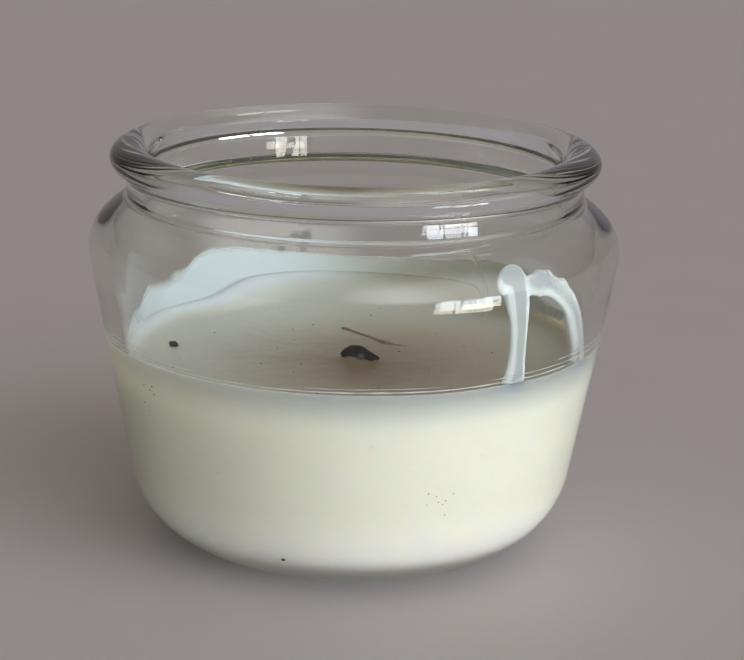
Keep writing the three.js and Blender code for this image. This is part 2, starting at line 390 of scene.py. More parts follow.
def mix_colour(tree, factor, a, b):
    """Mixes two colours. Each is a socket or plain red, green and blue."""
    node = tree.nodes.new("ShaderNodeMix")
    node.data_type = "RGBA"
    tree.links.new(factor, node.inputs["Factor"])
    for value, socket in ((a, node.inputs[6]), (b, node.inputs[7])):
        if isinstance(value, tuple):
            socket.default_value = (*value, 1)
        else:
            tree.links.new(value, socket)
    return node.outputs[2]


def place_of(tree):
    return tree.nodes.new("ShaderNodeTexCoord").outputs["Object"]


def smooth_range(tree, source, low, high):
    """0 at the low value and 1 at the high one, smoothly."""
    node = tree.nodes.new("ShaderNodeMapRange")
    node.interpolation_type = "SMOOTHSTEP"
    set_inputs(node, {"From Min": low, "From Max": high})
    tree.links.new(source, node.inputs["Value"])
    return node.outputs["Result"]


def added(tree, source, share, base):
    """A base value plus a share of another one."""
    node = tree.nodes.new("ShaderNodeMath")
    node.operation = "MULTIPLY_ADD"
    node.inputs[1].default_value = share
    tree.links.new(source, node.inputs[0])
    tree.links.new(base, node.inputs[2])
    return node.outputs[0]


def attribute(tree, name):
    node = tree.nodes.new("ShaderNodeAttribute")
    node.attribute_name = name
    return node.outputs["Fac"]


def split_of(tree, source):
    """The X, Y and Z of a place."""
    node = tree.nodes.new("ShaderNodeSeparateXYZ")
    tree.links.new(source, node.inputs["Vector"])
    return node.outputs


# ---------------------------------------------------------------- materials

def glass_material():
    """Clear glass with a faint green depth. It lets lamps through, so that the wax behind it is lit."""
    material, tree, glass = new_material("clear_glass")
    set_inputs(glass, {
        "Base Color": (0.985, 0.995, 0.985, 1),
        "Roughness": 0.0,
        "IOR": 1.5,
        "Transmission Weight": 1.0,
    })
    clear = tree.nodes.new("ShaderNodeBsdfTransparent")
    clear.inputs["Color"].default_value = (0.955, 0.965, 0.955, 1)
    rays = tree.nodes.new("ShaderNodeLightPath")
    mix = tree.nodes.new("ShaderNodeMixShader")
    tree.links.new(rays.outputs["Is Shadow Ray"], mix.inputs["Fac"])
    tree.links.new(glass.outputs["BSDF"], mix.inputs[1])
    tree.links.new(clear.outputs["BSDF"], mix.inputs[2])
    output = tree.nodes["Material Output"]
    tree.links.new(mix.outputs["Shader"], output.inputs["Surface"])
    depth = tree.nodes.new("ShaderNodeVolumeAbsorption")
    set_inputs(depth, {"Color": (0.50, 0.63, 0.46, 1), "Density": 15.0})
    tree.links.new(depth.outputs["Volume"], output.inputs["Volume"])
    return material


def wax_colours(tree, place, thin_colour):
    """Cream in the depth of the wax, bluish where the ring on the wall is thin."""
    wander = noise_of(tree, place, 55.0, detail=3.0)
    shifted = added(tree, wander, 1.2 * MM, split_of(tree, place)["Z"])
    thin = smooth_range(tree, shifted, (POOL_HEIGHT - 1.0) * MM, (POOL_HEIGHT + 6.2) * MM)
    clouds = noise_of(tree, place, 140.0, detail=5.0, roughness=0.6)
    cream = mix_colour(tree, clouds, (0.86, 0.86, 0.755), (0.90, 0.905, 0.83))
    # Whiter towards the bottom: painted light, standing in for light bounced up from the floor.
    low = smooth_range(tree, shifted, 17 * MM, 8 * MM)
    painted_floor_bounce = mix_colour(tree, low, cream, (0.98, 0.975, 0.90))
    return mix_colour(tree, thin, painted_floor_bounce, thin_colour)


def wax_side_material(name, glow_through, thin_colour):
    """Wax that clings to the glass, so it has no shine of its own."""
    material, tree, wax = new_material(name)
    place = place_of(tree)
    tree.links.new(wax_colours(tree, place, thin_colour), wax.inputs["Base Color"])
    set_inputs(wax, {
        "Roughness": 0.6,
        "Specular IOR Level": 0.0,
        "Subsurface Weight": glow_through,
        "Subsurface Radius": WAX_REACH,
        "Subsurface Scale": 4.5 * MM,
    })
    return material


def wax_pool_material():
    """The open surface of the wax: a soft shine, soot and painted shade to the right, scorched round the
    wick.
    """
    material, tree, wax = new_material("wax_pool")
    place = place_of(tree)
    split = split_of(tree, place)
    # Darker and browner towards +X: partly a soot tint, partly painted shade.
    clouds = noise_of(tree, place, 60.0, detail=5.0, roughness=0.6)
    drift = added(tree, clouds, 30 * MM, split["X"])
    across = smooth_range(tree, drift, -22 * MM, 30 * MM)
    soot_tint_and_painted_shade = mix_colour(tree, across, (0.48, 0.475, 0.415), (0.43, 0.375, 0.292))

    centre = tree.nodes.new("ShaderNodeMapping")
    centre.inputs["Location"].default_value = (-2 * MM, 4.5 * MM, -POOL_HEIGHT * MM)
    tree.links.new(place, centre.inputs["Vector"])
    reach = tree.nodes.new("ShaderNodeVectorMath")
    reach.operation = "LENGTH"
    tree.links.new(centre.outputs["Vector"], reach.inputs[0])
    wander = noise_of(tree, place, 160.0, detail=5.0, roughness=0.6)
    spread = added(tree, wander, -8 * MM, reach.outputs["Value"])
    rim = smooth_range(tree, reach.outputs["Value"], 19 * MM, 40 * MM)
    paler = mix_colour(tree, rim, soot_tint_and_painted_shade, (0.56, 0.56, 0.51))
    halo = smooth_range(tree, spread, 23 * MM, -3 * MM)
    stained = mix_colour(tree, halo, paler, (0.23, 0.165, 0.096))

    soot = noise_of(tree, place, 900.0, detail=2.0)
    dots = smooth_range(tree, soot, 0.74, 0.80)
    sooty = mix_colour(tree, dots, stained, (0.20, 0.17, 0.14))
    # Where the pool rises to the ring: pale and bluish at the left, painted shade at the right.
    rise = smooth_range(tree, split["Z"], (POOL_HEIGHT + 0.15) * MM, (POOL_HEIGHT + 2.6) * MM)
    painted_shade_along_back = smooth_range(tree, split["X"], SHADED_FROM * MM, SHADED_TO * MM)
    shore_with_painted_shade = mix_colour(tree, painted_shade_along_back, (0.78, 0.85, 0.88), (0.325, 0.325, 0.28))
    tree.links.new(mix_colour(tree, rise, sooty, shore_with_painted_shade), wax.inputs["Base Color"])

    set_inputs(wax, {
        "Roughness": 0.30,
        "Specular IOR Level": 0.35,
        "Subsurface Weight": 1.0,
        "Subsurface Radius": WAX_REACH,
        "Subsurface Scale": 2.5 * MM,
    })
    grain = noise_of(tree, place, 420.0, detail=6.0, roughness=0.55)
    bump(tree, grain, 0.12, 0.4 * MM, wax)
    return material


def thin_wax_material(name, colour, scale):
    """Drips and lips of wax: whiter and more see-through than the body."""
    material, tree, wax = new_material(name)
    place = place_of(tree)
    clouds = noise_of(tree, place, 260.0, detail=5.0, roughness=0.6)
    darker = tuple(c * 0.93 for c in colour)
    tree.links.new(mix_colour(tree, clouds, darker, colour), wax.inputs["Base Color"])
    set_inputs(wax, {
        "Roughness": 0.45,
        "Specular IOR Level": 0.10,
        "Subsurface Weight": 0.9,
        "Subsurface Radius": (1.0, 0.9, 0.75),
        "Subsurface Scale": scale,
    })
    grain = noise_of(tree, place, 900.0, detail=4.0)
    bump(tree, grain, 0.15, 0.2 * MM, wax)
    return material


def film_material():
    """A smear of wax on glass: cloudy low down, feathered out towards its edge."""
    material, tree, wax = new_material("wax_film")
    place = place_of(tree)
    cover = attribute(tree, "cover")
    clouds = noise_of(tree, place, 170.0, detail=7.0, roughness=0.62)
    mottled = added(tree, clouds, 0.45, cover)
    tree.links.new(smooth_range(tree, mottled, 0.32, 1.05), wax.inputs["Alpha"])
    # The open side: pale and bluish at the left, darker towards the right, partly a thinner film there and
    # partly painted shade.
    across = smooth_range(tree, split_of(tree, place)["X"], SHADED_FROM * MM, SHADED_TO * MM)
    open_side = mix_colour(tree, across, (0.64, 0.745, 0.82), (0.40, 0.405, 0.355))
    against = attribute(tree, "against_glass")
    glass_side = (0.86, 0.87, 0.80)
    tree.links.new(mix_colour(tree, against, open_side, glass_side), wax.inputs["Base Color"])
    wax.inputs["Roughness"].default_value = 0.5
    return material


def char_material(name, dark, ash, ash_from, patch=None):
    """Black crust with grey ash in its cracks. A patch is a place where the ash lies thick."""
    material, tree, char = new_material(name)
    place = place_of(tree)
    crust = noise_of(tree, place, 1700.0, detail=6.0, roughness=0.65)
    dust = smooth_range(tree, crust, ash_from, ash_from + 0.2)
    colour = mix_colour(tree, dust, dark, ash)
    if patch:
        away = tree.nodes.new("ShaderNodeVectorMath")
        away.operation = "DISTANCE"
        tree.links.new(place, away.inputs[0])
        away.inputs[1].default_value = [c * MM for c in patch]
        near = smooth_range(tree, away.outputs["Value"], 1.1 * MM, 0.5 * MM)
        colour = mix_colour(tree, near, colour, (0.10, 0.10, 0.095))
    tree.links.new(colour, char.inputs["Base Color"])
    set_inputs(char, {"Roughness": 0.85, "Specular IOR Level": 0.0})
    bump(tree, crust, 0.6, 0.3 * MM, char)
    return material


def steel_material():
    material, tree, steel = new_material("tab_tinplate")
    place = place_of(tree)
    wear = noise_of(tree, place, 300.0, detail=5.0)
    tree.links.new(
        mix_colour(tree, wear, (0.50, 0.50, 0.50), (0.68, 0.68, 0.67)),
        steel.inputs["Base Color"],
    )
    steel.inputs["Metallic"].default_value = 1.0
    tree.links.new(smooth_range(tree, wear, -0.4, 1.6), steel.inputs["Roughness"])
    return material


def adhesive_material():
    material, tree, foam = new_material("adhesive_foam")
    place = place_of(tree)
    cells = tree.nodes.new("ShaderNodeTexVoronoi")
    cells.inputs["Scale"].default_value = 2600.0
    tree.links.new(place, cells.inputs["Vector"])
    tree.links.new(
        mix_colour(tree, cells.outputs["Distance"], (0.86, 0.85, 0.80), (0.93, 0.92, 0.89)),
        foam.inputs["Base Color"],
    )
    foam.inputs["Roughness"].default_value = 0.8
    bump(tree, cells.outputs["Distance"], 0.4, 0.1 * MM, foam)
    return material


def floor_material():
    material, tree, surface = new_material("pale_floor")
    place = place_of(tree)
    grain = noise_of(tree, place, 40.0, detail=6.0)
    tree.links.new(
        mix_colour(tree, grain, (0.53, 0.49, 0.525), (0.56, 0.52, 0.553)),
        surface.inputs["Base Color"],
    )
    surface.inputs["Roughness"].default_value = 0.6
    return material


# ---------------------------------------------------------------- glass jar

def glass_shape(bead_end):
    """Small faults of pressed glass: two mould seams outside and a slow wave inside."""
    def shaped(r, z, angle, index):
        inside = index > bead_end
        here = Vector((math.sin(angle) * 1.7, -math.cos(angle) * 1.7, z * 0.09))
        if inside:
            return r + 0.07 * noise.noise(here * 1.6 + Vector((5.0, 0.0, 0.0))), z
        wave = 0.035 * noise.noise(here * 1.3)
        seam = 0.0
        if z > 2.0:
            for place in SEAM_ANGLES:
                off = (math.degrees(angle) - place + 180.0) % 360.0 - 180.0
                seam += 0.028 * math.exp(-((off / 0.28) ** 2))
        return r + (wave if z > 1.0 else 0.0) + seam, z
    return shaped


def make_jar(material):
    profile = OUTER + BEAD + list(reversed(INNER))
    shaped = glass_shape(len(OUTER) + len(BEAD) - 1)
    mesh = turned("jar_glass", profile, seamed_angles(ROUND_STEPS), shaped)
    return new_piece("jar_glass", mesh, "glass_jar", [material])


# ---------------------------------------------------------------- wax

def pool_height(r, angle):
    """Height of the pool surface: a shallow dish, a small rise round the wick, and slow waves."""
    dish = POOL_DIP * (1 - min(1.0, (r / POOL_RADIUS) ** 2))
    climb = 0.75 * math.exp(-((r / 2.1) ** 2)) + 0.18 * math.exp(-((r / 6.0) ** 2))
    here = Vector((r * math.sin(angle), -r * math.cos(angle), 0.0))
    waves = 0.16 * noise.noise(here * 0.11) + 0.05 * noise.noise(here * 0.45)
    crumpled = math.exp(-(((here.x + 1.0) / 4.6) ** 4) - ((here.y - 28.5) / 3.6) ** 4)
    crumple = 0.05 * crumpled * math.sin(here.y * 4.2 + 3.0 * noise.noise(here * 0.35))
    return POOL_HEIGHT - dish + climb + waves * min(1.0, r / 4.0) + crumple


def ring_lip_height(angle):
    here = Vector((math.sin(angle) * 2.4, -math.cos(angle) * 2.4, 3.0))
    return RING_HEIGHT - 0.12 + 0.22 * noise.noise(here)


def make_wax(side_material, pool_material, lip_material):
    lip_radius = inside_radius(RING_HEIGHT) + WAX_BITE
    pool_steps, ring_steps = 60, 26
    top = [(0.0, POOL_HEIGHT)] + straight((0.0, POOL_HEIGHT), (POOL_RADIUS, POOL_HEIGHT), pool_steps)
    inner_lip = lip_radius - RING_LIP - WAX_BITE
    ring = bezier(
        (POOL_RADIUS, POOL_HEIGHT),
        (POOL_RADIUS + 1.8, POOL_HEIGHT + 0.1),
        (inner_lip - 0.5, POOL_HEIGHT + 1.4),
        (inner_lip, RING_HEIGHT - 0.5),
        ring_steps,
    )
    lip = bezier(
        ring[-1],
        (inner_lip + 0.1, RING_HEIGHT - 0.1),
        (inner_lip + 0.4, RING_HEIGHT),
        (lip_radius, RING_HEIGHT),
        8,
    )
    hollow_top = FLOOR_THICKNESS + 1.3
    side = [(r + WAX_BITE, z - 0.05) for r, z in reversed(INNER) if z < RING_HEIGHT and r > TAB_RADIUS + 0.3]
    under = [(TAB_RADIUS + 0.2, FLOOR_THICKNESS - 0.05), (TAB_RADIUS + 0.2, hollow_top), (0.0, hollow_top)]
    profile = top + ring + lip + side + under
    pool_end = len(top) - 1
    lip_end = len(top) + len(ring) + len(lip) - 1

    def shaped(r, z, angle, index):
        if index <= pool_end:
            return r, pool_height(r, angle)
        if index <= lip_end:
            share = (index - pool_end) / (lip_end - pool_end)
            start = pool_height(POOL_RADIUS, angle) - POOL_HEIGHT
            rise = ring_lip_height(angle) - RING_HEIGHT
            here = Vector((r * math.sin(angle), -r * math.cos(angle), z))
            lumps = 0.10 * noise.noise(here * 0.5) * math.sin(math.pi * share)
            turn = math.degrees(angle)
            back = along([(80.0, 0.0), (110.0, 1.0), (250.0, 1.0), (280.0, 0.0)], turn)
            swept_z = lerp(POOL_HEIGHT, RING_HEIGHT + RING_SWEEP, share ** 1.5)
            gap = (inside_radius(POOL_HEIGHT) - POOL_RADIUS) * (1 - share) ** 2.4
            swept_r = inside_radius(swept_z) + WAX_BITE * share - gap
            r = lerp(r, swept_r, back)
            z = lerp(z, swept_z, back)
            return r + lumps, z + lerp(start, rise, share)
        return r, z

    mesh = turned("wax_body", profile, round_angles(ROUND_STEPS), shaped)
    mesh.flip_normals()
    piece = new_piece("wax_body", mesh, "wax_fill", [side_material, pool_material, lip_material])
    lip_edge = inside_radius(RING_HEIGHT)
    for face in mesh.polygons:
        middle = face.center / MM
        radius = math.hypot(middle.x, middle.y)
        on_pool = middle.z > POOL_HEIGHT - 2.0 and radius < min(lip_edge, inside_radius(middle.z)) - 0.05
        # At the back, the top of the wax side takes a paler copy of its material: painted light where little
        # light reaches.
        thin_lip = middle.z > RING_HEIGHT - THIN_LIP_DEPTH and middle.y > 0
        face.material_index = 1 if on_pool else 2 if thin_lip else 0
    return piece


def tube(path, radii, sides, flatten=1.0):
    """Points and faces of a closed tube along a list of points, in millimetres."""
    points, faces = [], []
    side = Vector((1.0, 0.0, 0.0))
    for i, centre in enumerate(path):
        ahead = path[min(i + 1, len(path) - 1)] - path[max(i - 1, 0)]
        ahead.normalize()
        side = (side - ahead * side.dot(ahead)).normalized()
        up = ahead.cross(side)
        for j in range(sides):
            a = 2 * math.pi * j / sides
            offset = side * math.cos(a) + up * (math.sin(a) * flatten)
            points.append(centre + offset * radii[i])
    for i in range(len(path) - 1):
        for j in range(sides):
            k = (j + 1) % sides
            faces.append((i * sides + j, i * sides + k, (i + 1) * sides + k, (i + 1) * sides + j))
    faces.append(tuple(reversed(range(sides))))
    faces.append(tuple((len(path) - 1) * sides + j for j in range(sides)))
    return points, faces


def smooth_path(points, steps):
    """Catmull-Rom curve through a list of vectors."""
    ends = [points[0] * 2 - points[1]] + list(points) + [points[-1] * 2 - points[-2]]
    path = []
    for i in range(1, len(ends) - 2):
        a, b, c, d = ends[i - 1:i + 3]
        for k in range(steps):
            t = k / steps
            path.append(0.5 * ((2 * b) + (c - a) * t + (2 * a - 5 * b + 4 * c - d) * t * t
                               + (3 * b - a - 3 * c + d) * t ** 3))
    path.append(points[-1].copy())
    return path


def joined(blobs):
    """One list of points and one of faces, from many pairs of them."""
    points, faces = [], []
    for blob_points, blob_faces in blobs:
        base = len(points)
        points += blob_points
        faces += [tuple(base + v for v in f) for f in blob_faces]
    return points, faces


def fused(name, blobs, voxel, smoothing):
    """Joins many closed lumps into one smooth skin. Each blob is a list of points and a list of faces."""
    mesh = mesh_from(name, *joined(blobs))
    lump = bpy.data.objects.new(name, mesh)
    bpy.context.scene.collection.objects.link(lump)
    remesh = lump.modifiers.new("join", "REMESH")
    remesh.mode = "VOXEL"
    remesh.voxel_size = voxel * MM
    soften = lump.modifiers.new("soften", "SMOOTH")
    soften.factor = 0.5
    soften.iterations = smoothing
    graph = bpy.context.evaluated_depsgraph_get()
    result = bpy.data.meshes.new_from_object(lump.evaluated_get(graph))
    bpy.data.objects.remove(lump)
    result.name = name
    return result


def ball(centre, radius, stretch=(1.0, 1.0, 1.0), rows=8, columns=12):
    points, faces = [centre + Vector((0, 0, -radius * stretch[2]))], []
    for i in range(1, rows):
        tilt = math.pi * i / rows - math.pi / 2
        for j in range(columns):
            a = 2 * math.pi * j / columns
            flat = math.cos(tilt) * radius
            points.append(centre + Vector((
                flat * math.cos(a) * stretch[0],
                flat * math.sin(a) * stretch[1],
                math.sin(tilt) * radius * stretch[2],
            )))
    points.append(centre + Vector((0, 0, radius * stretch[2])))
    for j in range(columns):
        k = (j + 1) % columns
        faces.append((0, 1 + k, 1 + j))
        faces.append((len(points) - 1, len(points) - 1 - columns + j, len(points) - 1 - columns + k))
        for i in range(rows - 2):
            low, high = 1 + i * columns, 1 + (i + 1) * columns
            faces.append((low + j, low + k, high + k, high + j))
    return points, faces


def pressed_to_wall(mesh, bite):
    """Pushes what sticks out past the inside wall back to it, so that the wax lies flat on the glass."""
    for vertex in mesh.vertices:
        place = vertex.co / MM
        radius = math.hypot(place.x, place.y)
        limit = inside_radius(place.z) + bite
        if radius > limit:
            vertex.co.x *= limit / radius
            vertex.co.y *= limit / radius


def make_drip(material):
    """Two runs from one rounded head. The outer run set in ripples as it cooled."""
    blobs = []
    for run in [STRAIGHT_RUN, OUTER_RUN] + [[hump] for hump in RUN_HUMPS]:
        centres = smooth_path([Vector(place) for place in run], 16) if len(run) > 1 else [Vector(run[0])]
        for angle, z, width in centres:
            points, faces = ball(Vector((0, 0, 0)), width * 0.94, (1.0, RUN_THICKNESS, 0.9))
            turn = Matrix.Rotation(math.radians(angle), 3, "Z")
            centre = on_wall(angle, z, width * 0.94 * RUN_THICKNESS * 0.9)
            blobs.append(([turn @ p + centre for p in points], faces))
    mesh = fused("wax_run", blobs, 0.15, 2)
    outer_spine = smooth_path([on_wall(a, z, 0.25) for a, z, _ in OUTER_RUN], 40)
    for vertex in mesh.vertices:
        place = vertex.co / MM
        if wall_angle(place.x, place.y) > RIPPLES_FROM:
            step = min(range(len(outer_spine)), key=lambda i: (outer_spine[i] - place).length_squared)
            wander = 2.5 * noise.noise(place * 0.6)
            vertex.co += vertex.normal * (0.09 * math.sin(step * 1.7 + wander) * MM)
    pressed_to_wall(mesh, 0.06)
    return new_piece("wax_run", mesh, "wax_drip", [material])


def film_top(angle):
    """The upper edge of the smear: straight between the places above, then rounded off."""
    total = 0.0
    offsets = (-1.6, -0.8, 0.0, 0.8, 1.6)
    for offset in offsets:
        place = min(max(angle + offset, FILM_EDGE[0][0]), FILM_EDGE[-1][0])
        for (low, low_height), (high, high_height) in zip(FILM_EDGE, FILM_EDGE[1:]):
            if low <= place <= high:
                total += lerp(low_height, high_height, (place - low) / (high - low))
                break
    ragged = 0.12 * noise.noise(Vector((angle * 0.35, 1.0, 0.0)))
    ragged += 0.06 * noise.noise(Vector((angle * 1.3, 7.0, 0.0)))
    return max(total / len(offsets) + ragged, RING_HEIGHT + 0.25)


def make_film(material):
    """A smear standing just off the wall: as thick as the ring's lip low down, and nothing at its top."""
    first, last = FILM_EDGE[0][0], FILM_EDGE[-1][0]
    columns, rows = int((last - first) / FILM_STEP) + 1, 27
    low, lip = RING_HEIGHT - 2.0, RING_HEIGHT - 0.6
    open_side, glass_side, cover = [], [], []
    for i in range(columns):
        angle = first + FILM_STEP * i
        high = film_top(angle)
        density = along(FILM_COVER, angle)
        ends = max(0.0, min(1.0, (angle - first) / 14.0, (last - angle) / 10.0))
        for j in range(rows):
            z = lerp(low, high, j / (rows - 1))
            up = max(0.0, (z - lip) / (high - lip))
            lumps = 0.85 + 0.35 * noise.noise(Vector((angle * 0.12, z * 0.5, 2.0)))
            thick = (0.12 * (1 - up) ** 1.3 + 0.06 * (1 - up)) * lumps * max(ends, 0.05)
            open_side.append(on_wall(angle, z, FILM_GAP + thick))
            glass_side.append(on_wall(angle, z, FILM_GAP - 0.01))
            cover.append(density * ends * min(1.0, (1 - up) * 2.4))
    mesh = mesh_from("wall_smear", open_side + glass_side, shell_faces(columns, rows))
    for name, values in (("cover", cover * 2), ("against_glass", [0.0] * len(cover) + [1.0] * len(cover))):
        mesh.attributes.new(name, "FLOAT", "POINT").data.foreach_set("value", values)
    outward_faces(mesh)
    return new_piece("wall_smear", mesh, "wall_film", [material])


def shell_faces(columns, rows):
    """Faces of a thin closed sheet: one grid of points, then the same grid again for its other side."""
    faces = []
    back = columns * rows
    for i in range(columns - 1):
        for j in range(rows - 1):
            a, b = i * rows + j, (i + 1) * rows + j
            faces.append((a, a + 1, b + 1, b))
            faces.append((back + a, back + b, back + b + 1, back + a + 1))
    edge = [i * rows for i in range(columns)]
    edge += [(columns - 1) * rows + j for j in range(1, rows)]
    edge += [i * rows + rows - 1 for i in reversed(range(columns - 1))]
    edge += [j for j in reversed(range(1, rows - 1))]
    for a, b in zip(edge, edge[1:] + edge[:1]):
        faces.append((a, b, back + b, back + a))
    return faces


def outward_faces(mesh, weld=None):
    """Turns a closed mesh to face out, after welding points that are closer than a distance in metres."""
    work = bmesh.new()
    work.from_mesh(mesh)
    if weld:
        bmesh.ops.remove_doubles(work, verts=work.verts, dist=weld)
    bmesh.ops.recalc_face_normals(work, faces=work.faces)
    work.to_mesh(mesh)
    work.free()


def make_tidemarks(material):
    """Fine broken lines that the melted wax left on the wall just above the ring."""
    marks = [
        (-86.0, 60.0, 35.95, 0.12), (-80.0, -36.0, 36.7, 0.09), (30.0, 84.0, 36.7, 0.10),
        (-74.0, -46.0, 37.5, 0.07), (52.0, 84.0, 37.6, 0.08), (-12.0, 22.0, 36.5, 0.06),
    ]
    lines = []
    for number, (start, end, height, thick) in enumerate(marks):
        steps = int((end - start) / 1.0)
        path, radii = [], []
        for i in range(steps + 1):
            angle = lerp(start, end, i / steps)
            drift = 0.12 * noise.noise(Vector((angle * 0.06, number * 3.1, 0.5)))
            path.append(on_wall(angle, height + drift, 0.01))
            patchy = 0.72 + 0.75 * noise.noise(Vector((angle * 0.25, number * 5.7, 9.0)))
            taper = min(1.0, (i + 0.2) / 5.0, (steps - i + 0.2) / 5.0)
            radii.append(thick * max(0.15, patchy) * taper)
        lines.append(tube(path, radii, 8))
    mesh = mesh_from("wax_tidemarks", *joined(lines))
    outward_faces(mesh)
    return new_piece("wax_tidemarks", mesh, None, [material])


# ---------------------------------------------------------------- wick and what lies on the pool

def wick_route():
    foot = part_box("wick")[0].z / MM
    return smooth_path([
        Vector((0.0, 0.0, foot)),
        Vector((0.0, 0.0, (foot + POOL_HEIGHT) / 2)),
        Vector((0.0, 0.0, POOL_HEIGHT - 2.2)),
        Vector((-0.5, 0.0, POOL_HEIGHT - 0.7)),
        Vector((-0.9, 0.0, POOL_HEIGHT + 0.4)),
        Vector((-0.4, -0.05, POOL_HEIGHT + 0.95)),
        Vector((0.6, -0.15, POOL_HEIGHT + 1.05)),
        Vector((1.5, -0.3, POOL_HEIGHT + 0.9)),
        Vector((2.3, -0.6, POOL_HEIGHT + 0.5)),
        Vector((3.3, -1.0, POOL_HEIGHT + 0.3)),
        Vector((4.4, -1.3, POOL_HEIGHT + 0.1)),
    ], 12)


def make_wick(material):
    """Three strands plaited round the route. The burnt end swells, cracks and frays."""
    route = wick_route()
    draw = random.Random(7)
    blobs = []
    strands = 3
    for strand in range(strands):
        path, radii = [], []
        side = Vector((1.0, 0.0, 0.0))
        for i, centre in enumerate(route):
            ahead = (route[min(i + 1, len(route) - 1)] - route[max(i - 1, 0)]).normalized()
            side = (side - ahead * side.dot(ahead)).normalized()
            up = ahead.cross(side)
            phase = i * 0.42 + strand * 2 * math.pi / strands
            weave = side * (0.42 * math.sin(phase)) + up * (0.26 * math.sin(2 * phase))
            burnt = min(1.0, max(0.0, (centre.z - POOL_HEIGHT + 0.3) / 1.0))
            lump = 1 + burnt * 0.42 * noise.noise(centre * 1.7 + Vector((strand * 4.0, 0, 0)))
            share = i / (len(route) - 1)
            thin = 1.0 if share < 0.84 else lerp(1.0, 0.22, (share - 0.84) / 0.16)
            path.append(centre + weave * thin)
            radii.append(0.47 * lump * thin)
        blobs.append(tube(path, radii, 10))
    for x, y, z, radius in (
        (-1.2, 0.1, 0.5, 0.65), (-0.6, -0.3, 0.85, 0.7), (0.3, 0.0, 1.0, 0.75), (1.2, -0.1, 0.95, 0.7),
        (1.7, -0.3, 0.75, 0.6), (0.3, -0.6, 0.4, 0.6), (1.3, -1.1, 0.25, 0.6),
    ):
        blobs.append(ball(Vector((x, y, POOL_HEIGHT + z)), radius, (1.15, 0.9, 0.75)))
    for i in range(12):
        place = route[draw.randrange(int(len(route) * 0.62), int(len(route) * 0.88))]
        nudge = Vector((draw.uniform(-0.6, 0.6), draw.uniform(-0.6, 0.6), draw.uniform(-0.4, 0.35)))
        blobs.append(ball(place + nudge, draw.uniform(0.22, 0.42), (1.1, 0.9, 0.8)))
    mesh = fused("wick_braid", blobs, 0.10, 1)
    for vertex in mesh.vertices:
        place = vertex.co / MM
        if place.z > POOL_HEIGHT:
            rough = noise.noise(place * 3.2) * 0.10 + noise.noise(place * 7.5) * 0.05
            vertex.co += vertex.normal * (rough * MM)
    return new_piece("wick_braid", mesh, "wick", [material])


def lump_mesh(name, centre, radius, stretch, seed):
    """A jagged grain."""
    mesh_points, faces = ball(Vector((0, 0, 0)), radius, stretch, 12, 18)
    moved = []
    for p in mesh_points:
        shift = noise.noise(p * 1.6 + Vector((seed, 0, 0))) * 0.45
        shift += noise.noise(p * 4.0 + Vector((0, seed, 0))) * 0.22
        moved.append(centre + p * (1 + shift))
    return mesh_from(name, moved, faces)


def make_crumb(material):
    centre = Vector((-30.2, 5.2, POOL_HEIGHT + 0.3))
    mesh = lump_mesh("char_bit", centre, 0.75, (1.1, 0.8, 0.55), 3.0)
    return new_piece("char_bit", mesh, "char_crumb", [material])


def make_sliver(material):
    """A scorched fibre half sunk in the pool behind the wick."""
    places = [(-2.1, 19.9), (-0.8, 18.1), (1.6, 14.7), (3.2, 12.7), (5.2, 9.9), (7.2, 8.6), (9.3, 7.9)]
    path = smooth_path([
        Vector((x, y, pool_height(math.hypot(x, y), math.atan2(x, -y)) - 0.02)) for x, y in places
    ], 10)
    radii = []
    for i, place in enumerate(path):
        share = i / (len(path) - 1)
        body = lerp(0.52, 0.20, share) + 0.34 * math.exp(-(((share - 0.70) / 0.09) ** 2))
        ends = min(1.0, (share + 0.03) / 0.12, (1.03 - share) / 0.12)
        radii.append(body * ends * (1 + 0.3 * noise.noise(place * 1.4)))
    points, faces = tube(path, radii, 10, 0.7)
    mesh = mesh_from("scorched_sliver", points, faces)
    outward_faces(mesh)
    return new_piece("scorched_sliver", mesh, "wick_sliver", [material])


def make_specks(material):
    """Grains of soot on the pool, on the ring, and caught between the wax and the glass in front."""
    draw = random.Random(21)
    grains = []

    def add(centre, radius):
        points, faces = ball(Vector((0, 0, 0)), radius, (1.0, 0.8, 0.6), 5, 7)
        turn = Matrix.Rotation(draw.uniform(0, math.pi), 3, "Z")
        points = [turn @ p * (1 + 0.5 * noise.noise(p * 6 + centre)) + centre for p in points]
        grains.append((points, faces))

    for _ in range(46):
        r = POOL_RADIUS * math.sqrt(draw.uniform(0.01, 0.95))
        a = draw.uniform(0, 2 * math.pi)
        add(Vector((r * math.sin(a), -r * math.cos(a), pool_height(r, a) + 0.02)), draw.uniform(0.05, 0.16))
    for _ in range(10):
        a, z = draw.uniform(19.0, 28.0), draw.uniform(14.5, 19.5)
        add(on_wall(a, z, -WAX_BITE - 0.02), draw.uniform(0.06, 0.17))
    for _ in range(7):
        a, z = draw.uniform(-58.0, -52.0), draw.uniform(25.0, 32.0)
        add(on_wall(a, z, -WAX_BITE - 0.02), draw.uniform(0.08, 0.2))
    for a, z, size in ((-18.0, 6.8, 0.42), (5.0, 27.0, 0.09), (33.0, 24.0, 0.08), (-34.0, 20.0, 0.1)):
        add(on_wall(a, z, -WAX_BITE - 0.02), size)
    mesh = mesh_from("soot_specks", *joined(grains))
    outward_faces(mesh)
    return new_piece("soot_specks", mesh, None, [material])


# ---------------------------------------------------------------- tab and sticker

